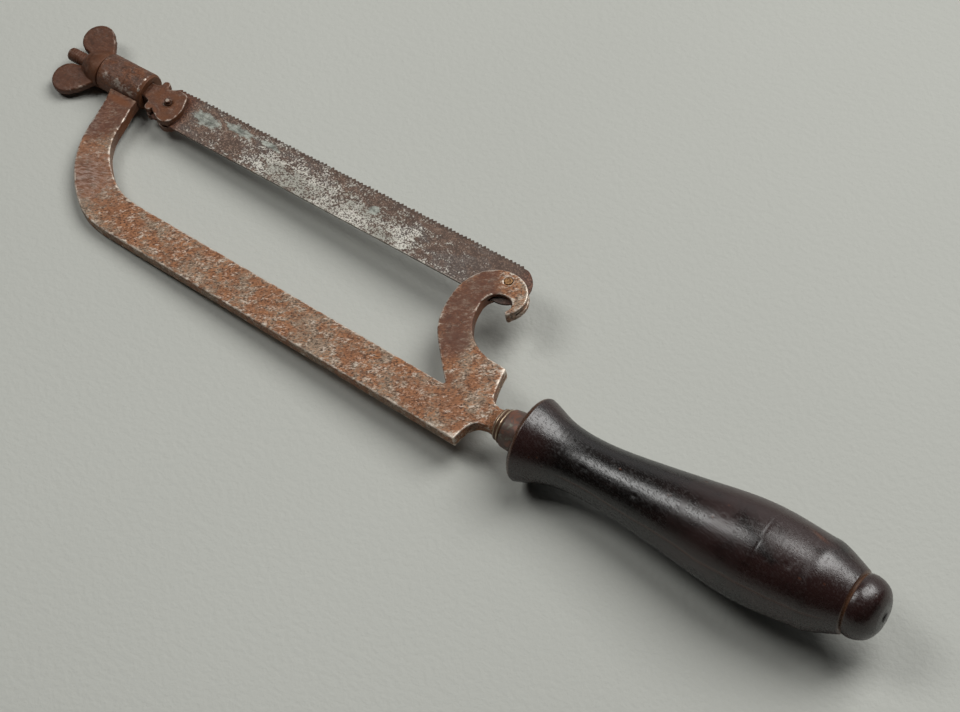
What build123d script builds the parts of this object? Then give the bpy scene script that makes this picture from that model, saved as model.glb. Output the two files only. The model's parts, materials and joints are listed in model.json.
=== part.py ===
"""Hand-forged metal-cutting bow saw, lying on its side as it rests on a bench.

Every piece is drawn flat in the saw's own plane, in millimetres:
  X runs along the blade from the toe to the pommel, 0 near the middle of the blade
  Y runs across the saw from the back bar to the teeth, 0 just above the two blade pins
  Z is the height above the middle of the bar's thickness
Each finished piece is then turned from that plane into the pose in which the saw rests on
a flat surface: barrel, toe bend and the front rim of the handle touch it.
"""
from build123d import *
from math import cos, radians, sin
import os

# ---- Driving dimensions ------------------------------------------------------------------
BAR = 5.2  # thickness of the forged bar, the toe arm and the heel arm
OVERSHOOT = 5.0  # how far a cut runs out past the piece it cuts

# Tension barrel, draw bolt and nut share one axis, parallel to X
BARREL_TOE, BARREL_HEEL = -111.0, -90.9
BARREL_R = 6.8
BOLT_Y = 0.4
BARREL_OFF = 0.5  # the hand-drilled bore is this much off the barrel's centre
SHANK_R = 2.55
BORE_R = SHANK_R + 0.08
NECK = 6.4  # side of the bolt's square neck
NECK_LENGTH = 16.5
SOCKET = NECK + 0.14  # side of the square hole it slides in
SOCKET_DEPTH = 10.0
NECK_TOE = BARREL_HEEL - SOCKET_DEPTH + 0.3  # the neck stops just short of the hole's floor
SHANK_TIP = -128.6
DRAW = 4.0  # how far the bolt moves towards the heel when the nut is slackened

# Clevis head of the draw bolt
PIN_Y = -0.8  # both cross pins lie on this line
TOE_PIN_X = -80.4
HEAD_ROOT = -90.0  # the clevis head starts here, on the neck
HEAD_LOW = (-84.6, -4.7)  # where the head's round side leaves the neck, below and above
HEAD_HIGH = (-83.6, 4.1)
HEAD_CORNER = (-75.6, 4.2)
CLEVIS_HALF = 3.4  # half of the clevis head's thickness
LOBE_X, LOBE_R = -85.9, 1.5  # small lobes where the head joins the neck
LOBE_HIGH, LOBE_LOW = 5.0, -5.4

# Cross pins
TOE_PIN_R = 1.3
HEEL_PIN_R = 1.5
HEEL_PIN_X = 68.0
PIN_FIT = 0.06  # radial clearance of a pin that turns or slides
TOE_PIN_UNDER, TOE_PIN_OVER = 0.5, 1.5  # how far the toe pin stands out of the clevis
HEEL_PIN_PROUD = 0.12

# Blade
BLADE_T = 0.9
SLOT_T = 1.1
TOOTH_PITCH = 1.5875
TOOTH_DEPTH = 1.05
TOOTH_LEAN = 0.62  # where in its pitch a tooth's tip stands
TOOTH_COUNT = 95
TEETH_Y = 8.0
BLADE_TOE = -84.8
SLOT_FLOOR = BLADE_TOE - DRAW - 0.3  # floor of the clevis slot, clear of the blade when slack
HEEL_SLOT_FLOOR = -9.6  # floor of the slot in the heel arm
SLOT_CUT = 30.0  # side of the square cut that makes each blade slot
BACK_TOE_Y, BACK_HEEL_Y = -7.5, -8.8
HEEL_END_R = 7.8

# Wing nut
HUB_BASE_R, HUB_TOP_R = 6.5, 4.2
HUB_TIP = -120.0
NUT_FIT = 0.07
WING_R = 6.1
WING_X, WING_Y = -121.9, 9.2
WING_T = 3.2
WING_TURN = 4.5  # degrees the wings are turned out of the saw's plane

# Handle line: collar, ferrule and handle are turned about this axis
GRIP_X, GRIP_Y = 107.5, -46.09
GRIP_ANGLE = 1.87
GRIP_LENGTH = 131.5
COLLAR_FROM, FERRULE_FROM = -11.0, -8.0
THROAT_WIDTH, THROAT_R = 7.6, 4.7  # the frame's throat, from the shoulder to the collar
TENON_R = 5.9
FERRULE_FRONT_R, FERRULE_BACK_R = 6.75, 7.4
TANG_END = 76.0
TANG_ROOT, TANG_TIP = (5.4, 6.4), (2.4, 2.8)

# Resting pose
REST_ROLL = 6.66  # about X, lifts the blade's side
REST_PITCH = 3.5  # about Y, lifts the pommel

os.makedirs("parts", exist_ok=True)

GRIP = Plane(
    origin=(GRIP_X, GRIP_Y, 0),
    x_dir=(cos(radians(GRIP_ANGLE)), sin(radians(GRIP_ANGLE)), 0),
    z_dir=(0, 0, 1),
)
GRIP_AXIS = Axis(GRIP.origin, GRIP.x_dir)
BOLT_AXIS = Axis((0, BOLT_Y, 0), (1, 0, 0))


def across_grip(along):
    """Plane square to the handle's axis, at a distance along it from the handle's front."""
    return Plane(
        origin=GRIP.from_local_coords((along, 0, 0)), x_dir=(0, 0, 1), z_dir=GRIP.x_dir
    )


def across_bolt(x):
    """Plane square to the bolt's axis at a given x."""
    return Plane(origin=(x, BOLT_Y, 0), x_dir=(0, 1, 0), z_dir=(1, 0, 0))


# ---- Tang, used by the frame and by everything that is slipped over it --------------------
with BuildPart() as tang:
    with BuildSketch(across_grip(COLLAR_FROM - 1)):
        RectangleRounded(*TANG_ROOT, 0.6)
    with BuildSketch(across_grip(TANG_END)):
        RectangleRounded(*TANG_TIP, 0.5)
    loft()

# ---- Frame: back bar, toe arm, shoulder, neck and tang ------------------------------------
BEND_OUT = (-64.0, -55.1)
BEND_IN = (-58.0, -40.8)
ARM_TOP = (-91.4, -4.0)
LOW_CORNER = (87.6, -60.2)
HIGH_CORNER = (87.3, -29.3)
WELD_FOOT = (73.5, -44.5)
WELD_MID = (77.0, -37.5)
WELD_TOP = (77.2, -28.4)
NECK_X = 93.5

with BuildPart() as frame:
    with BuildSketch(Plane.XY.offset(-BAR / 2)):
        with BuildLine():
            toe_out = Spline(
                (-104.4, -4.0), (-101.6, -13.0), (-99.2, -26.4), (-92.2, -40.6), (-80.6, -51.2),
                BEND_OUT, tangents=((0.45, -1), (1, -0.035)),
            )
            Line(BEND_OUT, LOW_CORNER)
            Spline(LOW_CORNER, (88.5, -54.6), (NECK_X, -50.6), tangents=((0.05, 1), (1, 0.02)))
            Line((NECK_X, -50.6), (NECK_X, -42.4))
            Spline((NECK_X, -42.4), (88.9, -37.4), HIGH_CORNER, tangents=((-1, 0.02), (-0.05, 1)))
            Spline(HIGH_CORNER, WELD_TOP, tangents=((-1, 0.03), (-1, 0.28)))
            ThreePointArc(WELD_TOP, WELD_MID, WELD_FOOT)
            Line(WELD_FOOT, BEND_IN)
            Spline(
                BEND_IN, (-71.6, -38.9), (-81.6, -32.4), (-88.2, -23.2), (-90.4, -13.0),
                ARM_TOP, tangents=((-1, 0.03), (0, 1)),
            )
            Line(ARM_TOP, (-104.4, -4.0))
        make_face()
    extrude(amount=BAR)
    # The arm's end is saddled to the barrel.
    with BuildSketch(across_bolt(BARREL_TOE - OVERSHOOT)):
        with Locations((BARREL_OFF, 0)):
            Circle(BARREL_R)
    extrude(amount=BARREL_HEEL - BARREL_TOE + 2 * OVERSHOOT, mode=Mode.SUBTRACT)
    corners = frame.edges().filter_by(Axis.Z).filter_by_position(Axis.X, 86, 89)
    chamfer(corners, length=0.3)
    # Neck: the flat shoulder swells into a round bar.
    with BuildSketch(across_grip(NECK_X - GRIP_X - 1.2)):
        RectangleRounded(BAR, THROAT_WIDTH, 1.2)
    with BuildSketch(across_grip(COLLAR_FROM)):
        Circle(THROAT_R)
    loft()
    add(tang.part)

# ---- Tension barrel -----------------------------------------------------------------------
with BuildPart() as tension_barrel:
    with BuildSketch(across_bolt(BARREL_TOE)):
        with Locations((BARREL_OFF, 0)):
            Circle(BARREL_R)
    extrude(amount=BARREL_HEEL - BARREL_TOE)
    chamfer(tension_barrel.edges().filter_by(GeomType.CIRCLE), length=0.45)
    with BuildSketch(across_bolt(BARREL_TOE)):
        Circle(BORE_R)
    extrude(amount=BARREL_HEEL - BARREL_TOE, mode=Mode.SUBTRACT)
    with BuildSketch(across_bolt(BARREL_HEEL - SOCKET_DEPTH)):
        Rectangle(SOCKET, SOCKET)
    extrude(amount=SOCKET_DEPTH, mode=Mode.SUBTRACT)

# ---- Heel arm: curved horn, slotted for the blade, ending in a hook ------------------------
with BuildPart() as heel_arm:
    with BuildSketch(Plane.XY.offset(-BAR / 2)):
        with BuildLine():
            Spline(
                WELD_FOOT, (64.6, -35.7), (57.0, -26.4), (54.3, -16.4), (55.8, -5.4),
                (61.8, 1.0), (68.6, 2.7), (74.6, 0.7), (77.9, -5.0), (75.8, -11.2),
                tangents=((-0.75, 0.65), (-0.7, -0.7)),
            )
            ThreePointArc((75.8, -11.2), (74.6, -12.3), (73.9, -11.2))
            ThreePointArc((73.9, -11.2), (74.5, -8.6), (72.9, -6.5))
            ThreePointArc((72.9, -6.5), (67.8, -7.0), (65.1, -13.6))
            ThreePointArc((65.1, -13.6), (67.9, -21.6), WELD_TOP)
            ThreePointArc(WELD_TOP, WELD_MID, WELD_FOOT)
        make_face()
    extrude(amount=BAR)
    with BuildSketch(Plane.XY.offset(-SLOT_T / 2)):
        with Locations((HEEL_PIN_X, HEEL_SLOT_FLOOR + SLOT_CUT / 2)):
            Rectangle(SLOT_CUT, SLOT_CUT)
    extrude(amount=SLOT_T, mode=Mode.SUBTRACT)
    with Locations((HEEL_PIN_X, PIN_Y, BAR / 2)):
        Hole(HEEL_PIN_R, depth=BAR)

# ---- Draw bolt: threaded shank, square neck and forged clevis head -------------------------
with BuildPart() as draw_bolt:
    with BuildSketch(across_bolt(SHANK_TIP)):
        Circle(SHANK_R)
    extrude(amount=NECK_TOE + 1 - SHANK_TIP)
    fillet(draw_bolt.faces().sort_by(Axis.X)[0].edges(), radius=1.6)
    with BuildSketch(across_bolt(NECK_TOE)):
        RectangleRounded(NECK, NECK, 0.7)
    extrude(amount=NECK_LENGTH)
    with BuildSketch(Plane.XY.offset(-CLEVIS_HALF)):
        with BuildLine():
            side = Spline(
                HEAD_LOW, (-82.1, -7.0), (-78.4, -8.45), (-75.2, -7.0), (-73.9, -1.9), HEAD_CORNER,
                tangents=((0.35, -1), (-0.35, 1)),
            )
            top = Spline(side @ 1, (-76.5, 5.1), (-79.2, 5.45), HEAD_HIGH, tangents=((-0.35, 1), (-1, -0.35)))
            Polyline(top @ 1, (-86.0, 4.5), (HEAD_ROOT, 3.0), (HEAD_ROOT, -2.6), HEAD_LOW)
        make_face()
        with Locations((LOBE_X, (LOBE_LOW + LOBE_HIGH) / 2)):
            Rectangle(2 * LOBE_R, LOBE_HIGH - LOBE_LOW)
        with Locations((LOBE_X, LOBE_LOW), (LOBE_X, LOBE_HIGH)):
            Circle(LOBE_R)
    extrude(amount=2 * CLEVIS_HALF)
    with BuildSketch(Plane.XY.offset(-SLOT_T / 2)):
        with Locations((SLOT_FLOOR + SLOT_CUT / 2, 0)):
            Rectangle(SLOT_CUT, SLOT_CUT)
    extrude(amount=SLOT_T, mode=Mode.SUBTRACT)
    with Locations((TOE_PIN_X, PIN_Y, CLEVIS_HALF)):
        Hole(TOE_PIN_R + PIN_FIT, depth=2 * CLEVIS_HALF)

# ---- Wing nut: domed hub and two round wings swept towards the toe -------------------------
WINGS = Plane(
    origin=(0, BOLT_Y, 0), x_dir=(1, 0, 0), z_dir=Vector(0, 0, 1).rotate(Axis.X, WING_TURN)
)
FACE_X = BARREL_TOE - 0.05

with BuildPart() as wing_nut:
    with BuildSketch(WINGS.offset(-WING_T / 2)):
        for side in (-1, 1):
            with Locations((WING_X, side * WING_Y)):
                Circle(WING_R)
            with BuildLine():
                Polyline(
                    (FACE_X - 0.6, side * 2.0), (FACE_X - 0.6, side * 6.0),
                    (-116.2, side * 12.4), (-124.6, side * 4.2), (-119.2, side * 2.0),
                    close=True,
                )
            make_face()
    extrude(amount=WING_T)
    fillet(wing_nut.faces().filter_by(Axis((0, 0, 0), WINGS.z_dir)).edges(), radius=0.7)
    with BuildSketch(Plane.XY.move(Location((0, BOLT_Y, 0)))):
        with BuildLine():
            Polyline((HUB_TIP, 0), (FACE_X, 0), (FACE_X, HUB_BASE_R), (FACE_X - 1.6, HUB_BASE_R))
            Spline(
                (FACE_X - 1.6, HUB_BASE_R), (-117.0, 5.5), (HUB_TIP, HUB_TOP_R - 0.9),
                tangents=((-1, 0), (-0.5, -1)),
            )
            Line((HUB_TIP, HUB_TOP_R - 0.9), (HUB_TIP, 0))
        make_face()
    revolve(axis=BOLT_AXIS)
    with BuildSketch(across_bolt(HUB_TIP - OVERSHOOT)):
        Circle(SHANK_R + NUT_FIT)
    extrude(amount=FACE_X - HUB_TIP + 2 * OVERSHOOT, mode=Mode.SUBTRACT)

# ---- Cross pins ---------------------------------------------------------------------------
with BuildPart() as toe_pin:
    with BuildSketch(Plane.XY.offset(-CLEVIS_HALF - TOE_PIN_UNDER)):
        with Locations((TOE_PIN_X, PIN_Y)):
            Circle(TOE_PIN_R)
    extrude(amount=2 * CLEVIS_HALF + TOE_PIN_UNDER + TOE_PIN_OVER)
    fillet(toe_pin.edges().filter_by(GeomType.CIRCLE), radius=0.4)

with BuildPart() as heel_pin:
    with BuildSketch(Plane.XY.offset(-BAR / 2 - HEEL_PIN_PROUD)):
        with Locations((HEEL_PIN_X, PIN_Y)):
            Circle(HEEL_PIN_R)
    extrude(amount=BAR + 2 * HEEL_PIN_PROUD)
    chamfer(heel_pin.edges().filter_by(GeomType.CIRCLE), length=0.1)

# ---- Blade --------------------------------------------------------------------------------
GULLET_Y = TEETH_Y - TOOTH_DEPTH
FIRST_TOOTH = HEEL_PIN_X + 0.6 - TOOTH_COUNT * TOOTH_PITCH
MOUTH_TOE = TOE_PIN_X - TOE_PIN_R - PIN_FIT
MOUTH_ROOF = PIN_Y + TOE_PIN_R + PIN_FIT
MOUTH_HEEL = TOE_PIN_X + TOE_PIN_R + PIN_FIT + DRAW
MOUTH_LIP = -79.1

tooth_line = [(FIRST_TOOTH, GULLET_Y)]
for tooth in range(TOOTH_COUNT):
    left = FIRST_TOOTH + tooth * TOOTH_PITCH
    tooth_line += [(left + TOOTH_LEAN * TOOTH_PITCH, TEETH_Y), (left + TOOTH_PITCH, GULLET_Y)]

with BuildPart() as blade:
    with BuildSketch(Plane.XY.offset(-BLADE_T / 2)):
        with BuildLine():
            Polyline(*tooth_line)
            heel_top = Line(tooth_line[-1], (HEEL_PIN_X + 2.4, GULLET_Y))
            heel_end = ThreePointArc(
                heel_top @ 1, (HEEL_PIN_X + HEEL_END_R, PIN_Y - 0.6), (HEEL_PIN_X, BACK_HEEL_Y)
            )
            Polyline(
                heel_end @ 1, (BLADE_TOE + 1.2, BACK_TOE_Y), (BLADE_TOE, BACK_TOE_Y + 1.2),
                (BLADE_TOE, GULLET_Y - 1.6), (FIRST_TOOTH, GULLET_Y),
            )
        make_face()
        # Open mouth at the toe: it hooks over the pin and leaves room for the bolt's draw.
        with BuildLine(mode=Mode.PRIVATE) as mouth:
            Polyline(
                (MOUTH_TOE, MOUTH_ROOF), (MOUTH_HEEL, MOUTH_ROOF), (MOUTH_HEEL, PIN_Y - 1.5),
                (MOUTH_LIP, BACK_TOE_Y - 1), (MOUTH_TOE, BACK_TOE_Y - 1), close=True,
            )
        make_face(mouth.edges(), mode=Mode.SUBTRACT)
        with Locations((HEEL_PIN_X, PIN_Y)):
            Circle(HEEL_PIN_R + PIN_FIT, mode=Mode.SUBTRACT)
    extrude(amount=BLADE_T)

# ---- Collar, ferrule and handle, turned about the handle's axis ----------------------------
with BuildPart() as tang_collar:
    with BuildSketch(GRIP):
        with BuildLine():
            Polyline((FERRULE_FROM, 0), (COLLAR_FROM, 0), (COLLAR_FROM, THROAT_R))
            first = ThreePointArc((COLLAR_FROM, THROAT_R), (-10.3, 5.6), (-9.6, 5.2))
            second = ThreePointArc(first @ 1, (-8.8, 6.1), (FERRULE_FROM, 5.7))
            Line(second @ 1, (FERRULE_FROM, 0))
        make_face()
    revolve(axis=GRIP_AXIS)
    add(tang.part, mode=Mode.SUBTRACT)

with BuildPart() as ferrule:
    with BuildSketch(GRIP):
        with BuildLine():
            Polyline(
                (FERRULE_FROM, TENON_R), (FERRULE_FROM, 6.4), (FERRULE_FROM + 0.4, FERRULE_FRONT_R),
                (-0.3, FERRULE_BACK_R), (0, 7.3), (0, TENON_R), close=True,
            )
        make_face()
    revolve(axis=GRIP_AXIS)

with BuildPart() as handle:
    with BuildSketch(GRIP):
        with BuildLine():
            Polyline((GRIP_LENGTH, 0), (FERRULE_FROM, 0), (FERRULE_FROM, TENON_R), (0, TENON_R))
            Line((0, TENON_R), (0, 12.5))
            rim = ThreePointArc((0, 12.5), (0.5, 14.1), (1.8, 14.8))
            body = Spline(
                rim @ 1, (9.0, 12.2), (22.5, 10.15), (42.5, 11.65), (65.7, 14.8),
                (89.7, 16.8), (106.0, 15.6), (120.3, 11.2), tangents=((1, -0.25), (1, -0.42)),
            )
            groove = Polyline(body @ 1, (120.8, 10.4), (121.5, 10.65))
            cap = Spline(
                groove @ 1, (124.0, 10.8), (126.6, 10.1), (129.0, 8.5), (130.6, 5.8), (131.1, 1.8),
                tangents=((1, 0.25), (0.12, -1)),
            )
            Spline(cap @ 1, (GRIP_LENGTH, 0), tangents=((1, -0.3), (0, -1)))
        make_face()
    revolve(axis=GRIP_AXIS)
    add(tang.part, mode=Mode.SUBTRACT)

# ---- Turn every piece into the resting pose and write it ----------------------------------
frame.part.label = "frame"
tension_barrel.part.label = "tension_barrel"
heel_arm.part.label = "heel_arm"
draw_bolt.part.label = "draw_bolt"
wing_nut.part.label = "wing_nut"
toe_pin.part.label = "toe_pin"
heel_pin.part.label = "heel_pin"
blade.part.label = "blade"
tang_collar.part.label = "tang_collar"
ferrule.part.label = "ferrule"
handle.part.label = "handle"

pieces = [
    frame, tension_barrel, heel_arm, draw_bolt, wing_nut, toe_pin, heel_pin, blade,
    tang_collar, ferrule, handle,
]
TURN = Location((0, 0, 0), (0, 1, 0), -REST_PITCH) * Location((0, 0, 0), (1, 0, 0), REST_ROLL)
box = Compound(children=[piece.part.moved(TURN) for piece in pieces]).bounding_box()
SET_DOWN = Location((-box.center().X, -box.center().Y, -box.min.Z))

for piece in pieces:
    resting = piece.part.moved(SET_DOWN * TURN)
    export_step(resting, f"parts/{piece.part.label}.step")
print("set down by", SET_DOWN.position, "box", box.size)
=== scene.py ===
"""Looks of a small forged bow saw for metal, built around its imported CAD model.

Shapes are worked on in the saw's own flat frame, in millimetres:
  X runs along the blade from the toe to the pommel
  Y runs across the saw from the back bar to the teeth
  Z is the height above the middle of the bar's thickness
The joints say where that frame lies, and each finished piece is turned from it into the row frame.
"""
import json
import math

import bmesh
import bpy
import numpy as np
from mathutils import Matrix, Vector
from mathutils.kdtree import KDTree


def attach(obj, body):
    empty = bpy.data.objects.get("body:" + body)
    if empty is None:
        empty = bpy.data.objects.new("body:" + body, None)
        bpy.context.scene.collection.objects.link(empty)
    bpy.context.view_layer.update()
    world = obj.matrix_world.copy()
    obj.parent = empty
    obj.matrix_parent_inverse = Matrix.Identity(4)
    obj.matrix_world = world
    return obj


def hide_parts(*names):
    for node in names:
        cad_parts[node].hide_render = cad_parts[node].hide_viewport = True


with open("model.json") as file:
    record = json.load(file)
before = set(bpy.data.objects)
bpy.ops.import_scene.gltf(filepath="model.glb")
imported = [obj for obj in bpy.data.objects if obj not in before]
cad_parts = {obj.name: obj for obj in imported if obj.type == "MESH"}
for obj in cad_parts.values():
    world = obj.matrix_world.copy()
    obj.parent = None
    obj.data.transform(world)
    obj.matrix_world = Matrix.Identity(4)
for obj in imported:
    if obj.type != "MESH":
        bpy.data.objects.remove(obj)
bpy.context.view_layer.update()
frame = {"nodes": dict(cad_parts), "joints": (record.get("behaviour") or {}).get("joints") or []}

# ---- The saw's flat frame, from the joints ------------------------------------------------
MILLIMETRE = 0.001
HEEL_PIN = (68.0, -0.8, 0.0)  # the blade's pivot
TOE_PIN = (-80.4, -0.8)  # the loose pin's axis
BOLT_Y = 0.4  # the draw bolt's axis
BARREL_Y = 0.9  # the barrel's axis, a little off the bolt's
GRIP_POINT = (107.5, -46.09)  # centre of the handle's front
GRIP_SLOPE = math.radians(1.87)  # how far the handle leans from the blade's direction
MARKS = ("wear", "pit", "dark", "seam", "wave")  # numbers per vertex that the materials read

joints = {joint["name"]: joint for joint in frame["joints"]}
along = Vector(joints["bolt_draw"]["axis"]).normalized()
upward = Vector(joints["toe_pin_push"]["axis"]).normalized()
across = upward.cross(along)
to_row = Matrix((along, across, upward)).transposed().to_4x4() @ Matrix.Scale(MILLIMETRE, 4)
to_row.translation = Vector(joints["blade_swing"]["pos_m"]) - to_row.to_3x3() @ Vector(HEEL_PIN)
to_saw = to_row.inverted()


# ---- Smooth random fields on points ---------------------------------------------------------
def hashed(cells, seed):
    """A number from -1 to 1 for each whole-number cell."""
    mixed = (cells * np.array([73856093, 19349663, 83492791])).sum(1) + seed * 2654435
    mixed = (mixed ^ (mixed >> 13)) * 1274126177 & 0x7FFFFFFF
    mixed = (mixed ^ (mixed >> 16)) * 668265263 & 0x7FFFFFFF
    return mixed / 0x3FFFFFFF - 1


def field(points, size, seed):
    """Smooth noise from -1 to 1 with lumps of about the given size; size may be one number per axis."""
    scaled = points / np.array(size, float) + 1000
    cell = np.floor(scaled).astype(np.int64)
    part = scaled - cell
    part = part * part * (3 - 2 * part)
    total = np.zeros(len(points))
    for corner in np.ndindex(2, 2, 2):
        weight = np.prod(np.where(corner, part, 1 - part), axis=1)
        total += weight * hashed(cell + np.array(corner), seed)
    return total


def layered(points, size, seed, layers=3, fade=0.55):
    """Several fields, each half the size of the one before."""
    total, height = np.zeros(len(points)), 1.0
    for layer in range(layers):
        total += height * field(points, np.array(size, float) / 2**layer, seed + 31 * layer)
        height *= fade
    return total


def blob(points, centre, reach):
    """1 at a centre in the flat frame, fading to 0 at about reach along X and Y."""
    offset = (points[:, :2] - np.array(centre)) / np.array(reach)
    return np.exp(-2 * (offset**2).sum(1))


def step(values, low, high):
    """0 at low, 1 at high, smooth between; high may be the smaller of the two."""
    share = np.clip((values - low) / (high - low), 0, 1)
    return share * share * (3 - 2 * share)


# ---- Meshes in the flat frame ----------------------------------------------------------------
def flat_copy(node):
    """A copy of a CAD node's mesh, in the flat frame."""
    mesh = frame["nodes"][node].data.copy()
    mesh.transform(to_saw)
    return mesh


def joined(*meshes):
    maker = bmesh.new()
    for mesh in meshes:
        maker.from_mesh(mesh)
    whole = bpy.data.meshes.new("joined")
    maker.to_mesh(whole)
    maker.free()
    return whole


def with_modifier(mesh, kind, **settings):
    """The mesh as one modifier leaves it."""
    holder = bpy.data.objects.new("holder", mesh)
    bpy.context.scene.collection.objects.link(holder)
    modifier = holder.modifiers.new(kind.lower(), kind)
    for name, value in settings.items():
        setattr(modifier, name, value)
    graph = bpy.context.evaluated_depsgraph_get()
    graph.update()
    result = bpy.data.meshes.new_from_object(holder.evaluated_get(graph))
    bpy.data.objects.remove(holder)
    return result


def remeshed(mesh, voxel):
    return with_modifier(mesh, "REMESH", mode="VOXEL", voxel_size=voxel, use_smooth_shade=True)


def points_of(mesh):
    flat = np.empty(len(mesh.vertices) * 3)
    mesh.vertices.foreach_get("co", flat)
    return flat.reshape(-1, 3)


def normals_of(mesh):
    flat = np.empty(len(mesh.vertices) * 3)
    mesh.vertex_normals.foreach_get("vector", flat)
    return flat.reshape(-1, 3)


def set_points(mesh, points):
    mesh.vertices.foreach_set("co", np.ascontiguousarray(points, dtype=np.float32).ravel())
    mesh.update()


def relaxed(mesh, points, rounds, pull=0.5):
    """Points after each is drawn towards the mean of its neighbours, some rounds over."""
    ends = np.empty(len(mesh.edges) * 2, np.int64)
    mesh.edges.foreach_get("vertices", ends)
    one, other = ends[0::2], ends[1::2]
    count = np.bincount(ends, minlength=len(points)).clip(1)
    for _ in range(rounds):
        mean = np.empty_like(points)
        for axis in range(3):
            mean[:, axis] = np.bincount(one, points[other, axis], len(points))
            mean[:, axis] += np.bincount(other, points[one, axis], len(points))
        points = points + pull * (mean / count[:, None] - points)
    return points


def set_marks(mesh, **marks):
    """Stores one number per vertex under each name, for the materials to read."""
    for name, values in marks.items():
        kind = "FLOAT_VECTOR" if np.ndim(values) == 2 else "FLOAT"
        mark = mesh.attributes.get(name) or mesh.attributes.new(name, kind, "POINT")
        key = "vector" if kind == "FLOAT_VECTOR" else "value"
        mark.data.foreach_set(key, np.ascontiguousarray(values, dtype=np.float32).ravel())


def mark_of(mesh, name):
    """The numbers that a mesh holds under a name, one per vertex."""
    values = np.empty(len(mesh.vertices), np.float32)
    mesh.attributes[name].data.foreach_get("value", values)
    return values


LUMP_SIZE = 5.0  # hammer marks
PIT_SIZE = 1.1
RUBBED_OFF = 0.10  # most metal that an arris has lost


def worn_mesh(mesh, voxel, rounding, lumps=0.0, pits=0.0, seed=1, wide=24):
    """Remeshes finely, rounds the arrises in some rounds, adds lumps and pits of a given depth.
    The mark 'wear' is 1 on arrises and -1 in inside corners, as felt over wide rounds."""
    mesh = remeshed(mesh, voxel)
    points = relaxed(mesh, points_of(mesh), rounding)
    set_points(mesh, points)
    normals = normals_of(mesh)
    bulge = ((points - relaxed(mesh, points, wide)) * normals).sum(1)
    wear = np.clip(bulge / (0.55 * voxel * math.sqrt(wide)), -1, 1)
    push = lumps * layered(points, LUMP_SIZE, seed, 2) - lumps * 0.6
    pitting = np.clip(layered(points, PIT_SIZE, seed + 7, 2) - 0.25, 0, 1)
    push -= pits * pitting
    push -= RUBBED_OFF * np.clip(wear, 0, 1) * (0.6 + 0.4 * field(points, 2.5, seed + 3))
    set_points(mesh, points + normals * push[:, None])
    set_marks(mesh, wear=wear, pit=pitting)
    return mesh


def finished(mesh, name, body, material, slot, *nodes, sharp=None):
    """Makes the object from a flat-frame mesh, and turns it into the row frame with its old places kept."""
    mesh.name = name
    set_marks(mesh, saw=points_of(mesh))
    for known in MARKS:
        if known not in mesh.attributes:
            set_marks(mesh, **{known: np.zeros(len(mesh.vertices))})
    mesh.transform(to_row)
    mesh.materials.clear()
    mesh.materials.append(material)
    mesh.shade_smooth()
    if sharp:
        mesh.set_sharp_from_angle(angle=math.radians(sharp))
    piece = bpy.data.objects.new(name, mesh)
    bpy.context.scene.collection.objects.link(piece)
    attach(piece, body)
    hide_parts(*nodes)
    return piece


# ---- Materials --------------------------------------------------------------------------------
def hexa(text):
    """Linear colour from a six-digit sRGB colour."""
    parts = [int(text[i : i + 2], 16) / 255 for i in (0, 2, 4)]
    return [p / 12.92 if p <= 0.04045 else ((p + 0.055) / 1.055) ** 2.4 for p in parts] + [1.0]


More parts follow.
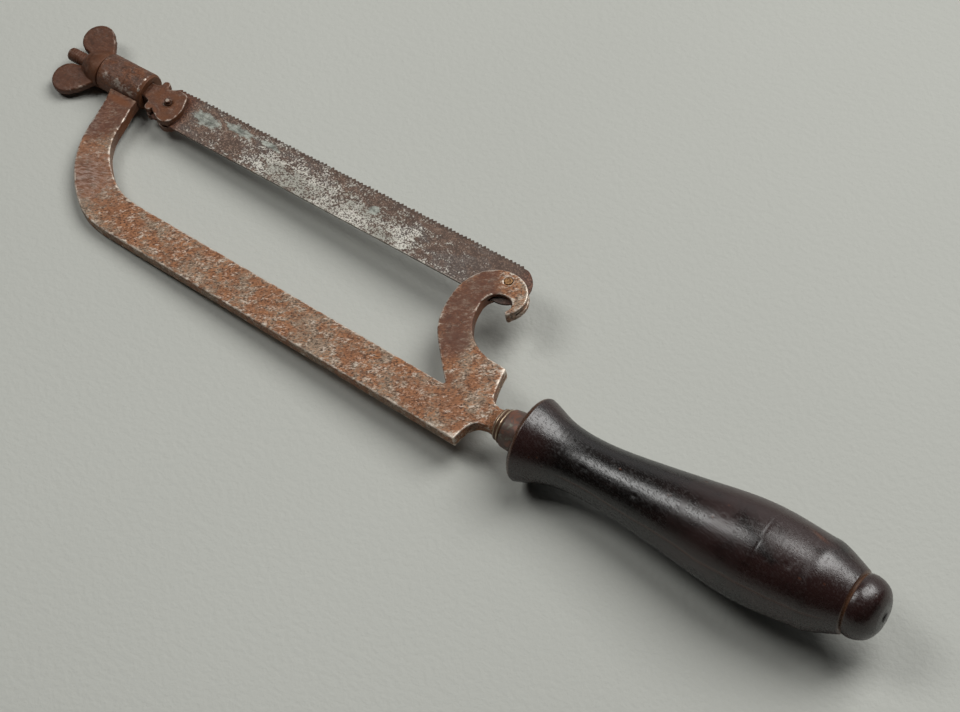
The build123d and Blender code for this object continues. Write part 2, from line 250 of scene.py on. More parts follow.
class Recipe:
    """A material's node tree, written as plain calls."""

    def __init__(self, name):
        self.material = bpy.data.materials.new(name)
        self.material.use_nodes = True
        self.tree = self.material.node_tree
        self.tree.nodes.clear()
        output = self.tree.nodes.new("ShaderNodeOutputMaterial")
        self.shader = self.tree.nodes.new("ShaderNodeBsdfPrincipled")
        self.tree.links.new(self.shader.outputs["BSDF"], output.inputs["Surface"])
        place = self.tree.nodes.new("ShaderNodeAttribute")
        place.attribute_name = "saw"
        self.place = place.outputs["Vector"]

    def feed(self, socket, value):
        if isinstance(value, bpy.types.NodeSocket):
            self.tree.links.new(value, socket)
        else:
            socket.default_value = value

    def mark(self, name):
        node = self.tree.nodes.new("ShaderNodeAttribute")
        node.attribute_name = name
        return node.outputs["Fac"]

    def stretched(self, scale, turn=0.0):
        """The place with its features drawn out per axis, turned in the saw's plane by some degrees."""
        node = self.tree.nodes.new("ShaderNodeMapping")
        node.vector_type = "TEXTURE"
        node.inputs["Rotation"].default_value = (0, 0, math.radians(turn))
        node.inputs["Scale"].default_value = scale
        self.feed(node.inputs["Vector"], self.place)
        return node.outputs["Vector"]

    def noise(self, size, detail=3.0, rough=0.55, place=None, warp=0.0):
        """Noise from 0 to 1 with features of about size millimetres."""
        node = self.tree.nodes.new("ShaderNodeTexNoise")
        self.feed(node.inputs["Vector"], place or self.place)
        node.inputs["Scale"].default_value = 1 / size
        node.inputs["Detail"].default_value = detail
        node.inputs["Roughness"].default_value = rough
        node.inputs["Distortion"].default_value = warp
        return node.outputs["Fac"]

    def band(self, value, low, high):
        """0 at low, 1 at high and beyond; high may be the smaller of the two."""
        node = self.tree.nodes.new("ShaderNodeMapRange")
        node.interpolation_type = "SMOOTHSTEP"
        self.feed(node.inputs["Value"], value)
        node.inputs["From Min"].default_value = low
        node.inputs["From Max"].default_value = high
        return node.outputs["Result"]

    def math(self, operation, one, other):
        node = self.tree.nodes.new("ShaderNodeMath")
        node.operation = operation
        self.feed(node.inputs[0], one)
        self.feed(node.inputs[1], other)
        return node.outputs[0]

    def times(self, one, other):
        return self.math("MULTIPLY", one, other)

    def plus(self, one, other):
        return self.math("ADD", one, other)

    def minus(self, one, other):
        return self.math("SUBTRACT", one, other)

    def most(self, one, other):
        return self.math("MAXIMUM", one, other)

    def mix(self, share, one, other):
        """Colour: one where share is 0, other where it is 1."""
        node = self.tree.nodes.new("ShaderNodeMix")
        node.data_type = "RGBA"
        self.feed(node.inputs[0], share)
        self.feed(node.inputs[6], one)
        self.feed(node.inputs[7], other)
        return node.outputs[2]

    def blend(self, share, low, high):
        """Number: low where share is 0, high where it is 1."""
        node = self.tree.nodes.new("ShaderNodeMapRange")
        self.feed(node.inputs["Value"], share)
        self.feed(node.inputs["To Min"], low)
        self.feed(node.inputs["To Max"], high)
        return node.outputs["Result"]

    def split(self, vector):
        node = self.tree.nodes.new("ShaderNodeSeparateXYZ")
        self.feed(node.inputs[0], vector)
        return node.outputs

    def bump(self, height, depth, strength=1.0):
        """Height from 0 to 1 stands for depth millimetres."""
        node = self.tree.nodes.new("ShaderNodeBump")
        node.inputs["Strength"].default_value = strength
        node.inputs["Distance"].default_value = depth * MILLIMETRE
        self.feed(node.inputs["Height"], height)
        self.feed(self.shader.inputs["Normal"], node.outputs["Normal"])

    def finish(self, colour, rough, metal):
        self.feed(self.shader.inputs["Base Color"], colour)
        self.feed(self.shader.inputs["Roughness"], rough)
        self.feed(self.shader.inputs["Metallic"], metal)
        return self.material


def rusty_iron(name, tones, patch, glint_share, turn, bright):
    """Old forged iron, with clouds of patch millimetres, a share of light specks painted as glints, a grain
    turned by some degrees and bright arrises. The tones are rust, grey, dark grain, light grain (bare
    arrises and painted glints), smooth brown and orange seam."""
    rust, grey, deep, light, smooth, orange = [hexa(tone) for tone in tones]
    r = Recipe(name)
    grain_place = r.stretched((1.6, 0.9, 1.0), turn)
    large = r.noise(patch, 4.0, 0.62, warp=0.5)
    cluster = r.noise(0.6 * patch, 3.0, 0.6, warp=0.4)
    medium = r.noise(1.7, 4.0, 0.68, place=grain_place, warp=0.3)
    fine = r.noise(0.55, 3.0, 0.7, place=grain_place)
    wave = r.mark("wave")
    # Clouds of grey in the rust, and calm brown where the mark "dark" is.
    dark_patch = r.band(r.plus(r.mark("dark"), r.times(large, 0.5)), 0.42, 1.02)
    colour = r.mix(r.band(r.plus(large, r.times(medium, 0.6)), 0.70, 0.92), rust, grey)
    uneven = r.blend(r.band(medium, 0.40, 0.66), 0.97, 0.72)
    colour = r.mix(r.times(dark_patch, uneven), colour, smooth)
    calm = r.times(r.blend(dark_patch, 1.0, 0.18), r.blend(wave, 1.0, 0.12))
    # Dark grains and pits.
    hollows = r.times(r.band(fine, 0.49, 0.37), 0.85)
    colour = r.mix(r.times(hollows, calm), colour, deep)
    pit = r.band(r.mark("pit"), 0.05, 0.5)
    colour = r.mix(r.times(pit, 0.4), colour, deep)
    # Painted glints: pale and orange specks on the grain's crests.
    glint_tops = r.plus(fine, r.plus(r.times(medium, 0.22), r.times(cluster, 0.36)))
    glint_tops = r.band(glint_tops, 0.79, 0.93)
    glint_flecks = r.mix(r.band(medium, 0.45, 0.65), hexa("a8744c"), light)
    colour = r.mix(r.times(r.times(glint_tops, glint_share), calm), colour, glint_flecks)
    # Ripples of lilac scale where the mark "wave" is, their light lilac on the crests partly a painted
    # sheen.
    ripple = r.noise(1.5, 3.0, 0.6, place=r.stretched((1.4, 0.45, 1.0), 18), warp=0.3)
    ripple_scale_and_sheen = r.mix(r.band(ripple, 0.42, 0.58), hexa("55392f"), hexa("97837a"))
    colour = r.mix(r.times(wave, r.blend(large, 0.45, 1.0)), colour, ripple_scale_and_sheen)
    # Fresh rust along the seams, bare metal along the arrises.
    seam = r.band(r.plus(r.mark("seam"), r.times(medium, 0.35)), 0.35, 0.85)
    colour = r.mix(r.times(seam, 0.75), colour, orange)
    edge = r.band(r.plus(r.mark("wear"), r.times(medium, 0.9)), 0.60, 0.86)
    edge = r.times(edge, bright)
    colour = r.mix(edge, colour, light)
    rough = r.blend(edge, r.blend(medium, 0.42, 0.66), 0.34)
    metal = r.blend(edge, 0.15, 0.7)
    height = r.plus(r.times(medium, 0.8), r.times(fine, calm))
    r.bump(r.plus(height, r.times(ripple, wave)), 0.22)
    r.shader.inputs["Specular IOR Level"].default_value = 0.35
    return r.finish(colour, rough, metal)


# The fourth tone of each, the light grain, is bare metal on the arrises and painted glints on the grain.
FRAME_TONES = ("8c5e40", "8e7b68", "38241a", "d4c7b9", "5a382a", "6e4023")
SMOOTH_TONES = ("744932", "6a5349", "2a1b12", "b8aa9e", "503020", "643c22")
frame_iron = rusty_iron("frame_iron", FRAME_TONES, patch=9.0, glint_share=0.80, turn=35, bright=1.0)
smooth_iron = rusty_iron("smooth_iron", SMOOTH_TONES, patch=5.0, glint_share=0.35, turn=0, bright=0.9)


def blade_steel():
    """Mottled saw blade: brown rust with bare granular steel in the middle and along the back."""
    r = Recipe("blade_steel")
    x, y, _ = r.split(r.place)
    lengthwise = r.stretched((1.8, 1.0, 1.0))
    grain = r.noise(0.6, 3.0, 0.75)
    streak = r.noise(1.8, 5.0, 0.75, place=lengthwise)
    medium = r.noise(3.2, 4.0, 0.65, warp=0.4)
    large = r.noise(9, 3.0, 0.6, place=lengthwise, warp=0.8)
    spread = r.band(grain, 0.38, 0.62)
    clump = r.band(streak, 0.36, 0.64)
    # Rust, more even towards the heel.
    colour = r.mix(r.band(medium, 0.38, 0.62), hexa("4b382f"), hexa("6a5346"))
    speckled = r.blend(r.band(x, -5, 30), 0.7, 0.35)
    soft = r.times(r.band(large, 0.50, 0.64), 0.6)
    colour = r.mix(soft, colour, hexa("5d5a58"))
    colour = r.mix(r.times(r.band(grain, 0.50, 0.64), speckled), colour, hexa("947e6e"))
    colour = r.mix(r.times(r.band(grain, 0.46, 0.34), speckled), colour, hexa("2b1f19"))
    # Bare steel: how far it has come through, then its grain.
    along_x = r.times(r.band(x, -76, -44), r.band(x, 66, 20))
    middle = r.times(r.band(x, -46, -30), r.band(x, 38, 22))
    bareness = r.times(r.times(middle, r.band(y, 5.0, -3.0)), 0.60)
    bareness = r.plus(bareness, r.times(along_x, 0.40))
    bareness = r.plus(bareness, r.times(r.times(along_x, r.band(y, -3.5, -7.0)), 0.16))
    bareness = r.plus(bareness, r.times(r.minus(large, 0.5), 0.9))
    bareness = r.plus(bareness, r.times(r.mark("dark"), 0.3))
    speckle = r.times(r.plus(spread, clump), 0.5)
    silver = r.band(r.plus(speckle, r.times(bareness, 0.55)), 0.86, 1.18)
    tint = r.mix(r.band(large, 0.40, 0.60), hexa("a8a89e"), hexa("d2cfc5"))
    colour = r.mix(r.times(silver, 0.9), colour, tint)
    colour = r.mix(r.times(r.band(grain, 0.52, 0.42), 0.75), colour, hexa("4c3d34"))
    # Greenish patches, rusty ends (the heel end's dark rust partly painted shade in the hook's gap), grime
    # on the teeth, and painted shade under the hook.
    green = r.band(r.plus(r.mark("seam"), r.times(r.minus(streak, 0.5), 1.6)), 0.35, 0.65)
    colour = r.mix(r.times(green, 0.85), colour, r.mix(clump, hexa("565b55"), hexa("a9ada4")))
    rust_and_hook_shade = r.most(r.band(x, -70, -76), r.times(r.band(x, 68, 72), 0.7))
    colour = r.mix(r.times(rust_and_hook_shade, 0.85), colour, r.mix(spread, hexa("3a2016"), hexa("74432b")))
    colour = r.mix(r.times(r.band(y, 5.8, 7.4), 0.5), colour, hexa("3a2a20"))
    # Painted shade under the hook, where the mark "pit" is.
    colour = r.mix(r.times(r.mark("pit"), 0.85), colour, hexa("24160f"))
    edge = r.band(r.plus(r.mark("wear"), r.times(streak, 0.5)), 0.95, 1.25)
    colour = r.mix(r.times(edge, 0.6), colour, hexa("938a80"))
    bare = r.most(r.times(silver, 0.9), r.times(green, 0.4))
    r.bump(r.plus(streak, grain), 0.12)
    r.shader.inputs["Specular IOR Level"].default_value = 0.4
    return r.finish(colour, r.blend(bare, 0.60, 0.42), r.blend(bare, 0.10, 0.45))


def brass():
    r = Recipe("rivet_brass")
    spots = r.noise(0.5, 4.0, 0.65)
    colour = r.mix(r.band(spots, 0.40, 0.62), hexa("6b4c34"), hexa("a07a52"))
    # Darker round the pin head's rim.
    colour = r.mix(r.band(r.mark("wear"), 0.2, 0.9), colour, hexa("6b4a36"))
    r.bump(spots, 0.08)
    return r.finish(colour, r.blend(spots, 0.38, 0.6), 0.75)


def collar_steel():
    r = Recipe("collar_steel")
    rings = r.noise(0.8, 4.0, 0.6)
    # The mark "wear" is the beads' crests: worn metal lightened as painted highlights.
    worn = r.band(r.plus(r.mark("wear"), r.times(rings, 0.6)), 0.45, 0.85)
    colour = r.mix(worn, r.mix(rings, hexa("3a2416"), hexa("5f3e26")), hexa("a08d76"))
    r.bump(rings, 0.05)
    return r.finish(colour, r.blend(worn, 0.60, 0.28), r.blend(worn, 0.05, 0.75))


def ferrule_iron():
    r = Recipe("ferrule_iron")
    patch = r.noise(3.0, 4.0, 0.6, warp=0.5)
    fine = r.noise(0.7, 3.0, 0.6)
    colour = r.mix(r.band(patch, 0.38, 0.5), hexa("6d4a3c"), hexa("57463f"))
    colour = r.mix(r.band(patch, 0.56, 0.68), colour, hexa("6c6d60"))
    colour = r.mix(r.times(r.band(r.mark("wear"), 0.3, 0.9), 0.7), colour, hexa("8a5a3c"))
    r.bump(r.plus(patch, fine), 0.06)
    return r.finish(colour, r.blend(fine, 0.42, 0.58), 0.35)


def dark_wood():
    """Nearly black polished wood, redder on the belly and the front, with fine scratches."""
    r = Recipe("dark_wood")
    x = r.split(r.place)[0]
    grain = r.noise(0.9, 5.0, 0.65, place=r.stretched((9.0, 1.0, 1.0)))
    cloud = r.noise(22, 4.0, 0.6, warp=0.7)
    scratch = r.noise(0.55, 3.0, 0.7, place=r.stretched((2.6, 0.9, 1.0), -20))
    rubs = r.noise(0.5, 4.0, 0.75, place=r.stretched((1.0, 7.0, 3.0)))
    places = r.most(r.band(x, 150, 185), r.band(x, 126, 112))
    reddish = r.times(places, r.band(cloud, 0.32, 0.58))
    colour = r.mix(r.band(grain, 0.35, 0.7), hexa("080504"), hexa("150e0c"))
    colour = r.mix(r.times(reddish, 0.75), colour, hexa("2f1c1a"))
    colour = r.mix(r.times(r.mark("pit"), 0.7), colour, hexa("5a3524"))
    # Lighter where the mark "wear" is: the front rim, worn and partly a painted highlight, and a painted
    # highlight in the groove by the pommel.
    colour = r.mix(r.times(r.band(r.mark("wear"), 0.2, 0.9), 0.75), colour, hexa("6a4a34"))
    worn = r.band(r.plus(scratch, r.times(rubs, 0.5)), 0.74, 0.92)
    belly = r.times(r.band(x, 160, 174), r.band(x, 200, 188))
    matt = r.times(r.times(belly, r.band(cloud, 0.35, 0.60)), 0.30)
    rough = r.blend(r.most(worn, matt), r.blend(cloud, 0.20, 0.30), 0.48)
    r.bump(r.plus(r.times(grain, 0.5), r.times(scratch, 0.4)), 0.10)
    r.shader.inputs["Specular IOR Level"].default_value = 0.66
    return r.finish(colour, rough, 0.0)


# ---- Frame and heel arm: one forging on the surface, two pieces ---------------------------------
WELD = ((73.5, -44.5), (77.0, -37.5), (77.2, -28.4))  # the arc where the arm meets the shoulder
WELD_STEPS = 24
CUTTER_HALF = 9  # half the cutter's height


def circle_through(one, two, three):
    """Centre of the circle through three points in the plane."""
    (ax, ay), (bx, by), (cx, cy) = one, two, three
    twice = 2 * (ax * (by - cy) + bx * (cy - ay) + cx * (ay - by))
    squares = [x * x + y * y for x, y in (one, two, three)]
    x = (squares[0] * (by - cy) + squares[1] * (cy - ay) + squares[2] * (ay - by)) / twice
    y = (squares[0] * (cx - bx) + squares[1] * (ax - cx) + squares[2] * (bx - ax)) / twice
    return Vector((x, y))


def arm_cutter():
    """A prism around the heel arm whose one side is the weld arc, drawn on past both ends."""
    centre = circle_through(*WELD)
    radius = (Vector(WELD[1]) - centre).length
    start = math.atan2(WELD[0][1] - centre.y, WELD[0][0] - centre.x)
    end = math.atan2(WELD[2][1] - centre.y, WELD[2][0] - centre.x)
    arc = []
    for i in range(WELD_STEPS + 1):
        angle = start + (end - start) * i / WELD_STEPS
        arc.append((centre.x + radius * math.cos(angle), centre.y + radius * math.sin(angle)))
    around = [(77.4, -26.0), (84.0, -24.0), (84.0, 8.0), (50.0, 8.0), (50.0, -34.0), (69.5, -43.2)]
    outline = [(72.6, -46.5), *arc, *around]
    maker = bmesh.new()
    rings = [[maker.verts.new((x, y, z)) for x, y in outline] for z in (-CUTTER_HALF, CUTTER_HALF)]
    maker.faces.new(rings[0][::-1])
    maker.faces.new(rings[1])
    for i in range(len(outline)):
        j = (i + 1) % len(outline)
        maker.faces.new((rings[0][i], rings[0][j], rings[1][j], rings[1][i]))
    bmesh.ops.recalc_face_normals(maker, faces=maker.faces)
    mesh = bpy.data.meshes.new("arm_cutter")
    maker.to_mesh(mesh)
    maker.free()
    return mesh


def forging_marks(mesh):
    """Where the forging is calm and dark, with painted shade on its side faces, freshly rusted, rippled
    (partly a painted sheen) or worn bright.
    """
    points = points_of(mesh)
    face = points[:, 2] < 2.2  # all but the upper cheek
    dark = np.maximum.reduce([
        blob(points, (-98, -15), (14, 20)) * 1.15,  # toe arm
        blob(points, (62, -16), (13, 22)) * 1.2,  # heel arm
        blob(points, (66, -30), (9, 11)),
        blob(points, (60, -2), (9, 7)),
    ])
    # Side faces, to be painted darker as shade.
    shaded_sides = np.abs(normals_of(mesh)[:, 2]) < 0.5
    seam = np.maximum.reduce([
        blob(points, (-97, -8.5), (9, 2.6)) * 0.8,  # under the barrel
        blob(points, (72.5, -42.5), (3.0, 3.5)) * 1.1,  # foot of the heel arm
        blob(points, (69, -8), (5, 4)) * (points[:, 2] < 2.0) * 1.1,  # inside the hook
        blob(points, (65.6, -14), (2.2, 7)) * face,
        blob(points, (92, -39.5), (5, 3)) * face * 0.8,  # scallop by the neck
        blob(points, (-89, -12), (4, 12)) * face * 0.9,  # inside the toe arm
    ])
    # Lilac ripples on the toe bend, partly a painted sheen.
    wave = np.maximum(blob(points, (-87, -40), (15, 14)), 0.5 * blob(points, (-100, -24), (6, 11)))
    wear = mark_of(mesh, "wear")
    wear = wear * (1 - step(points[:, 1], -10.5, -8.5) * (points[:, 0] < 0))  # none against the barrel
    wear = wear * (1 - 0.75 * blob(points, (70, -22), (12, 15)))
    wear = wear * (1 - 0.3 * blob(points, (-88, -20), (8, 12)))
    wear += 0.17 * np.maximum.reduce([
        blob(points, (86, -32), (6, 5)),  # upper shoulder corner
        blob(points, (84, -58), (9, 3.5)),  # lower shoulder corner
        blob(points, (72, -3), (4, 8)),  # hook
    ])
    # The side faces add painted shade to the calm dark brown.
    dark = np.clip(dark + 0.25 * shaded_sides, 0, 1)
    set_marks(mesh, wear=wear, dark=dark, seam=np.clip(seam, 0, 1), wave=wave)


def forging():
    both = joined(flat_copy("frame"), flat_copy("heel_arm"))
    whole = worn_mesh(both, 0.34, 3, lumps=0.03, pits=0.08, seed=5)
    forging_marks(whole)
    cutter = bpy.data.objects.new("cutter", arm_cutter())
    bpy.context.scene.collection.objects.link(cutter)
    halves = [
        with_modifier(whole, "BOOLEAN", operation=operation, object=cutter, solver="MANIFOLD")
        for operation in ("DIFFERENCE", "INTERSECT")
    ]
    bpy.data.objects.remove(cutter)
    tree = KDTree(len(whole.vertices))
    for index, vertex in enumerate(whole.vertices):
        tree.insert(vertex.co, index)
    tree.balance()
    for half in halves:
        nearest = np.array([tree.find(vertex.co)[1] for vertex in half.vertices])
        set_marks(half, **{name: mark_of(whole, name)[nearest] for name in MARKS})
    finished(halves[0], "forged_frame", "saw_frame", frame_iron, "forged_iron", "frame", sharp=50)
    finished(halves[1], "forged_heel_arm", "saw_frame", frame_iron, "smooth_iron", "heel_arm", sharp=50)


forging()

# ---- Barrel, draw bolt, wing nut and pins ----------------------------------------------------
THREAD_PITCH = 1.058
THREAD_DEPTH = 0.16
BARREL_HEEL = -90.9  # the barrel's end towards the blade
BARREL_SHRINK = 0.11  # share of its radius that the heel end's chamfer takes
PIN_SHRINK = 0.16  # share of its radius that the toe pin has lost above the clevis
RECESS = 0.25  # depth of the worn ring in the clevis around the toe pin


def barrel():
    mesh = worn_mesh(flat_copy("tension_barrel"), 0.26, 3, lumps=0.04, pits=0.05, seed=11)
    points = points_of(mesh)
    x = points[:, 0]
    angle = np.degrees(np.arctan2(points[:, 2], points[:, 1] - BARREL_Y))
    outer = step(np.hypot(points[:, 1] - BARREL_Y, points[:, 2]), 6.3, 6.6)
    # A short bright dotted arc on the chamfer's edge, and a rubbed patch that winds along the top.
    shiny = np.exp(-(((angle - 105) / 25) ** 2) - ((x + 92.1) / 0.35) ** 2) * outer
    shiny *= 1.5 * step(0.5 + 0.5 * field(points, 0.8, 83), 0.35, 0.65)
    rubbed = np.exp(-(((angle - 136 - 1.6 * (x + 101)) / 17) ** 2))
    rubbed *= step(x, -111, -107) * step(x, -91, -94) * outer
    specks = 0.5 + 0.5 * field(points, 0.7, 89)
    arrises = 0.6 * mark_of(mesh, "wear") * step(x, -109, -107) * step(x, -91.8, -92.2)
    worn = np.maximum(arrises, np.maximum(shiny, 0.5 * rubbed * specks))
    brazed = step(-points[:, 1], 2.0, 6.5) * step(-points[:, 2], -4, 1)
    chamfer = BARREL_SHRINK * step(x, -92.2, BARREL_HEEL) * outer
    points[:, 1] -= (points[:, 1] - BARREL_Y) * chamfer
    points[:, 2] *= 1 - chamfer
    set_points(mesh, points)
    set_marks(
        mesh, wear=np.clip(worn, -1, 1), dark=np.full(len(points), 0.5), wave=0.45 * rubbed,
        seam=0.9 * np.maximum(brazed, 0.8 * (points[:, 0] > -92)),
    )
    finished(mesh, "tension_barrel_worn", "saw_frame", smooth_iron, "smooth_iron", "tension_barrel")


def bolt():
    mesh = worn_mesh(flat_copy("draw_bolt"), 0.20, 3, lumps=0.03, pits=0.05, seed=17, wide=30)
    points = points_of(mesh)
    x = points[:, 0]
    radial = points[:, 1:] - np.array([BOLT_Y, 0])
    distance = np.hypot(radial[:, 0], radial[:, 1]).clip(1e-6)
    turn = np.arctan2(radial[:, 1], radial[:, 0])
    thread = 0.5 - 0.5 * np.cos(2 * np.pi * x / THREAD_PITCH - turn)
    on_thread = step(distance, 2.1, 2.4) * step(x, -102, -104) * step(x, -128.4, -126.5)
    inward = THREAD_DEPTH * thread * on_thread
    points[:, 1:] -= radial / distance[:, None] * inward[:, None]
    head = step(x, -93, -88)
    from_pin = np.hypot(x - TOE_PIN[0], points[:, 1] - TOE_PIN[1])
    recess = step(from_pin, 2.6, 1.5) * step(points[:, 2], 2.4, 3.0)
    stains = 0.5 + 0.5 * field(points, 2.2, 19)
    points[:, 2] -= RECESS * recess
    set_points(mesh, points)
    wear = 0.8 * mark_of(mesh, "wear")
    # The mark "pit" darkens the worn ring round the toe pin as painted shade of the pin.
    set_marks(mesh, wear=wear, dark=0.85 - 0.3 * head, seam=(0.2 + 0.5 * head) * stains, pit=recess)
    finished(mesh, "draw_bolt_worn", "bolt", smooth_iron, "smooth_iron", "draw_bolt")


def nut():
    mesh = worn_mesh(flat_copy("wing_nut"), 0.27, 5, lumps=0.05, pits=0.03, seed=23)
    x = points_of(mesh)[:, 0]
    wear = 0.7 * mark_of(mesh, "wear") * step(x, -112.5, -114)
    set_marks(mesh, wear=wear, dark=np.full(len(x), 0.75), seam=0.45 * step(x, -121, -112))
    finished(mesh, "wing_nut_worn", "nut", smooth_iron, "smooth_iron", "wing_nut")


def toe_pin():
    mesh = worn_mesh(flat_copy("toe_pin"), 0.12, 2, lumps=0.02, seed=29)
    points = points_of(mesh)
    aside = points[:, :2] - np.array(TOE_PIN)
    from_axis = np.hypot(aside[:, 0], aside[:, 1])
    points[:, :2] -= aside * PIN_SHRINK * step(points[:, 2], 3.4, 3.7)[:, None]
    set_points(mesh, points)
    # Painted light: the pin's top is worn bare and lightened as a highlight, and the rest (the mark "pit")
    # is darkened as painted shade.
    tip = step(points[:, 2], 4.2, 4.8) * step(from_axis, 0.9, 0.6)
    set_marks(mesh, wear=tip, pit=1 - tip, dark=np.full(len(points), 0.5))
    finished(mesh, "toe_pin_worn", "pin", smooth_iron, "smooth_iron", "toe_pin")


def heel_pin():
    mesh = worn_mesh(flat_copy("heel_pin"), 0.12, 2, lumps=0.02, seed=31)
    finished(mesh, "heel_pin_rivet", "saw_frame", brass(), "rivet_brass", "heel_pin")


barrel()
bolt()
nut()
toe_pin()
heel_pin()

# ---- Blade --------------------------------------------------------------------------------------
CUT = 0.8  # spacing of the cuts across the blade that make its faces fine enough to shape
TOOTH_PITCH = 1.5875
TOOTH_COUNT = 95
FIRST_TOOTH = HEEL_PIN[0] + 0.6 - TOOTH_COUNT * TOOTH_PITCH
TOOTH_SET = 0.09  # sideways bend of alternate teeth
TIP_LOSS = 0.22  # what a tooth has lost of its height, on average
RUST_LOSS = 0.03  # what rust has eaten from each side, on average


def cut_finely(maker):
    """Cuts the flat mesh across at every half tooth and along at every CUT."""
    low = np.min([v.co for v in maker.verts], axis=0)
    high = np.max([v.co for v in maker.verts], axis=0)
    for axis, spacing, start in ((0, TOOTH_PITCH / 2, FIRST_TOOTH % TOOTH_PITCH), (1, CUT, 0.3)):
        direction = [0, 0, 0]
        direction[axis] = 1
        place = low[axis] - low[axis] % spacing + start % spacing
        while place < high[axis]:
            spot = [0, 0, 0]
            spot[axis] = place
            everything = maker.verts[:] + maker.edges[:] + maker.faces[:]
            bmesh.ops.bisect_plane(maker, geom=everything, plane_co=spot, plane_no=direction, dist=1e-5)
            place += spacing


def blade():
    maker = bmesh.new()
    maker.from_mesh(flat_copy("blade"))
    bmesh.ops.remove_doubles(maker, verts=maker.verts, dist=0.001)
    cut_finely(maker)
    mesh = bpy.data.meshes.new("blade")
    maker.to_mesh(mesh)
    maker.free()
    points = points_of(mesh)
    tooth = np.floor((points[:, 0] - FIRST_TOOTH) / TOOTH_PITCH)
    near_tips = step(points[:, 1], 6.2, 8.0) * (points[:, 0] < HEEL_PIN[0])
    points[:, 2] += TOOTH_SET * near_tips * np.where(tooth % 2, 1, -1)
    points[:, 2] -= RUST_LOSS * np.sign(points[:, 2]) * (1 + field(points, (6, 2.5, 9), 41))
    bluntness = 1 + hashed(np.stack([tooth, tooth * 0, tooth * 0], 1).astype(np.int64), 3)
    points[:, 1] -= TIP_LOSS * bluntness * step(points[:, 1], 7.4, 7.9)
    set_points(mesh, points)
    back = step(points[:, 1], -7.0, -8.2) * (points[:, 0] < 58)
    green = np.maximum.reduce([
        blob(points, (-65.5, 1.6), (9, 4.2)),
        0.95 * blob(points, (-52, 3.6), (10, 2.8)),
        0.9 * blob(points, (10, 0.5), (4, 3)),
        0.8 * blob(points, (-38, 4), (8, 2.2)),
    ])
    bare = np.maximum(blob(points, (-34, -1.5), (9, 4)), 1.1 * blob(points, (-20, -4), (12, 5)))
    # The mark "pit" here is painted shade under the hook.
    set_marks(mesh, wear=0.9 * back, pit=blob(points, (67, -7), (7, 5)), seam=green, dark=bare)
    finished(mesh, "saw_blade_worn", "saw_blade", blade_steel(), "blade_steel", "blade", sharp=35)


blade()

# ---- Collar, ferrule and handle ------------------------------------------------------------------
def collar():
    mesh = worn_mesh(flat_copy("tang_collar"), 0.16, 2, seed=37)
    beside = points_of(mesh)[:, 0] - GRIP_POINT[0]
    # The beads' crests, worn and painted bright as highlights.
    bead_crest_highlights = np.exp(-(((beside + 10.3) / 0.20) ** 2)) + np.exp(-(((beside + 8.75) / 0.22) ** 2))
    set_marks(mesh, wear=bead_crest_highlights)
    finished(mesh, "tang_collar_beads", "saw_frame", collar_steel(), "collar_steel", "tang_collar")


def ferrule():
    mesh = worn_mesh(flat_copy("ferrule"), 0.24, 2, lumps=0.05, seed=43)
    finished(mesh, "ferrule_worn", "saw_frame", ferrule_iron(), "ferrule_iron", "ferrule")


collar()
ferrule()

GRIP_STATIONS = 430
GRIP_SIDES = 200
FRONT_RINGS = 14  # rings on the handle's flat front
FRONT_HOLE = 6.0  # radius where that front starts, hidden under the ferrule
RINGS = ((89.3, 0.07), (120.9, 0.15))  # turned grooves: distance along the handle, depth
RING_WIDTH = 0.35
SHORT_LINE = 94.2  # a scribed line that only runs part of the way round
CRACK_SIDE = 2.71  # where the long crack lies around the handle, in radians from the teeth's side


def along_grip(points):
    """Flat-frame points as distance along the handle's axis, distance beside it and height."""
    c, s = math.cos(GRIP_SLOPE), math.sin(GRIP_SLOPE)
    x, y = points[:, 0] - GRIP_POINT[0], points[:, 1] - GRIP_POINT[1]
    return np.stack([c * x + s * y, c * y - s * x, points[:, 2]], 1)


def from_grip(points):
    """Points along the handle's axis, back in the flat frame."""
    c, s = math.cos(GRIP_SLOPE), math.sin(GRIP_SLOPE)
    d, aside = points[:, 0], points[:, 1]
    x, y = GRIP_POINT[0] + c * d - s * aside, GRIP_POINT[1] + s * d + c * aside
    return np.stack([x, y, points[:, 2]], 1)


def grip_outline():
    """Stations from the handle's front to its end with the radius at each, from the CAD handle."""
    points = along_grip(points_of(flat_copy("handle")))
    distance, radius = points[:, 0], np.hypot(points[:, 1], points[:, 2])
    length = distance.max()
    bore = (distance < 80) & (radius < 8.0) & (distance > 0.01)
    outer = (distance > -0.01) & (radius > 0.2) & ~bore
    distance, radius = distance[outer], radius[outer]
    places, which = np.unique(np.round(distance, 3), return_inverse=True)
    peak = np.zeros(len(places))
    np.maximum.at(peak, which, radius)
    stations = length * (1 - np.cos(np.linspace(0, np.pi, GRIP_STATIONS))) / 2
    stations = 0.55 * stations + 0.45 * np.linspace(0, length, GRIP_STATIONS)
    outline = np.interp(stations, places, peak)
    for ring, depth in RINGS:
        outline -= depth * np.exp(-((stations - ring) / RING_WIDTH) ** 2)
    front = np.linspace(FRONT_HOLE, radius[distance < 0.02].max(), FRONT_RINGS)[:-1]
    return np.concatenate([np.zeros(len(front)), stations]), np.concatenate([front, outline])


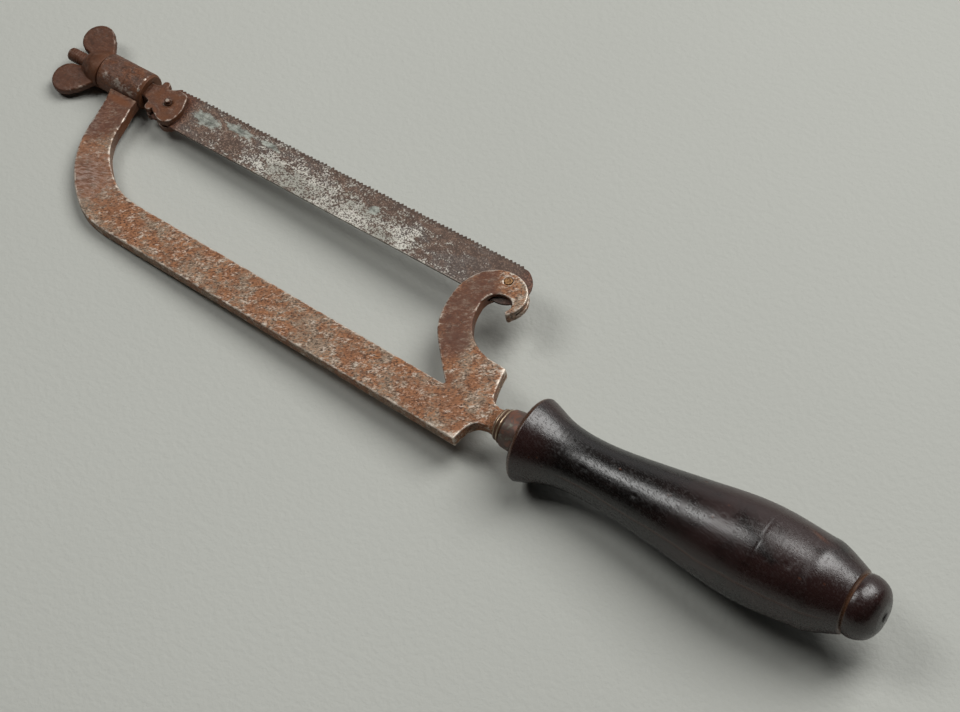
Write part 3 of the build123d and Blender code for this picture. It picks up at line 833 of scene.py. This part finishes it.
def grip_wear(d, r, a):
    """How far the handle's surface is pushed out at a distance, radius and angle, and its chips."""
    shell = np.stack([d, r * np.cos(a), r * np.sin(a)], 1)
    wobble = 0.10 * field(np.stack([d, 9 * np.cos(a), 9 * np.sin(a)], 1), (26, 9, 9), 51) - 0.10
    dents = np.clip(layered(shell, (5.0, 3.0, 3.0), 57, 2) - 0.85, 0, 1)
    chips = np.clip(layered(shell, (2.4, 1.2, 1.2), 61, 2) - 1.05, 0, 1)
    nick = np.exp(-(((d - 103.5) / 3.0) ** 2) - ((a - 0.95 - 0.02 * (d - 103.5)) / 0.05) ** 2)
    crack_line = CRACK_SIDE + 0.035 * field(np.stack([d, d * 0, d * 0], 1), 9, 71)
    crack = np.exp(-(((a - crack_line) / 0.022) ** 2)) * step(d, 14, 22) * step(d, 119, 112)
    scribed = np.exp(-(((d - SHORT_LINE) / 0.3) ** 2)) * step(np.abs(a - 2.43), 0.3, 0.15)
    push = (wobble - 0.35 * dents - 0.5 * chips) * step(r, 1.0, 6.0)
    push -= 0.05 * scribed + 0.12 * nick + 0.12 * crack
    return push, np.clip(chips * 4 + nick + 0.7 * crack, 0, 1)


def grip_faces(rows):
    """Quads between rings of points, triangles to the tip that follows them, and the front's face."""
    faces = []
    for row in range(rows - 1):
        for side in range(GRIP_SIDES):
            beside = (side + 1) % GRIP_SIDES
            one, two = row * GRIP_SIDES, (row + 1) * GRIP_SIDES
            faces.append((one + side, two + side, two + beside, one + beside))
    last, tip = (rows - 1) * GRIP_SIDES, rows * GRIP_SIDES
    faces += [(last + side, tip, last + (side + 1) % GRIP_SIDES) for side in range(GRIP_SIDES)]
    faces.append(tuple(range(GRIP_SIDES)))
    return faces


def handle():
    stations, radii = grip_outline()
    rows = len(stations) - 1  # the last station is the tip, a single point
    d = np.repeat(stations[:-1], GRIP_SIDES)
    r = np.repeat(radii[:-1], GRIP_SIDES)
    a = np.tile(np.linspace(0, 2 * np.pi, GRIP_SIDES, endpoint=False), rows)
    push, chips = grip_wear(d, r, a)
    grown = np.where(d > 0, r + push, r)
    shell = np.stack([d, grown * np.cos(a), grown * np.sin(a)], 1)
    points = from_grip(np.concatenate([shell, [[stations[-1], 0, 0]]]))
    mesh = bpy.data.meshes.new("handle")
    mesh.from_pydata([tuple(p) for p in points], [], grip_faces(rows))
    mesh.update()
    maker = bmesh.new()
    maker.from_mesh(mesh)
    bmesh.ops.recalc_face_normals(maker, faces=maker.faces)
    maker.to_mesh(mesh)
    maker.free()
    # The front rim, worn and partly a painted highlight, and a painted highlight in the pommel's groove.
    rim_wear_and_sheen = 0.55 * np.exp(-(((d - 1.2) / 1.0) ** 2)) * (r > 12)
    groove_highlight = 0.7 * np.exp(-(((d - RINGS[1][0]) / 0.9) ** 2))
    set_marks(mesh, wear=np.append(groove_highlight + rim_wear_and_sheen, 0), pit=np.append(chips, 0))
    finished(mesh, "handle_turned", "saw_frame", dark_wood(), "dark_wood", "handle", sharp=50)


handle()

# ---- Table, light and camera ----------------------------------------------------------------------
def table_top():
    """A sheet of grey paper, its grain in metres."""
    bpy.ops.mesh.primitive_plane_add(size=3.0, location=(0, 0, 0))
    table = bpy.context.object
    table.name = "table_top"
    r = Recipe("table_paper")
    r.place = r.tree.nodes.new("ShaderNodeNewGeometry").outputs["Position"]
    grain = r.noise(0.0022, 3.0, 0.55)
    cloud = r.noise(0.25, 2.0, 0.5)
    colour = r.mix(cloud, hexa("a8a9a3"), hexa("b3b4ae"))
    r.bump(grain, 0.5, strength=0.6)
    table.data.materials.append(r.finish(colour, 0.75, 0.0))


def lamp(name, place, target, size, power, tint):
    """A rectangular lamp in the row frame, in metres and watts."""
    data = bpy.data.lights.new(name, "AREA")
    data.shape = "RECTANGLE"
    data.size, data.size_y = size
    data.energy = power
    data.color = tint
    light = bpy.data.objects.new(name, data)
    light.location = place
    light.rotation_euler = (Vector(target) - Vector(place)).to_track_quat("-Z", "Y").to_euler()
    bpy.context.scene.collection.objects.link(light)


# The camera in the flat frame: its place, the picture's right and the way back from the picture.
CAMERA_PLACE = Vector((458.2, -379.5, 805.0))
CAMERA_RIGHT = Vector((0.80793, 0.57386, -0.13388))
CAMERA_BACK = Vector((0.39941, -0.36624, 0.84044))
LENS = 108.75
SENSOR = 36.0


def camera():
    data = bpy.data.cameras.new("camera")
    data.lens, data.sensor_width = LENS, SENSOR
    data.clip_start, data.clip_end = 0.05, 20
    item = bpy.data.objects.new("camera", data)
    turn = Matrix((CAMERA_RIGHT, CAMERA_BACK.cross(CAMERA_RIGHT), CAMERA_BACK)).transposed()
    spin = Matrix((along, across, upward)).transposed()
    item.matrix_world = Matrix.Translation(to_row @ CAMERA_PLACE) @ (spin @ turn).to_4x4()
    bpy.context.scene.collection.objects.link(item)
    bpy.context.scene.camera = item


table_top()
lamp("key", (0.28, 0.66, 1.25), (0.0, 0.0, 0.0), (0.78, 1.15), 18.8, (1.0, 1.0, 0.985))
lamp("left", (-0.72, -0.26, 1.25), (0.0, 0.0, 0.0), (0.50, 0.60), 7.3, (1.0, 1.0, 0.985))
lamp("back", (-0.1, 1.7, 0.8), (0.0, 0.0, 0.1), (3.0, 1.2), 5.5, (1.0, 1.0, 1.0))

world = bpy.data.worlds.new("room")
world.use_nodes = True
world.node_tree.nodes["Background"].inputs["Color"].default_value = (0.80, 0.82, 0.81, 1)
world.node_tree.nodes["Background"].inputs["Strength"].default_value = 0.012
bpy.context.scene.world = world
bpy.context.scene.view_settings.view_transform = "Standard"
camera()
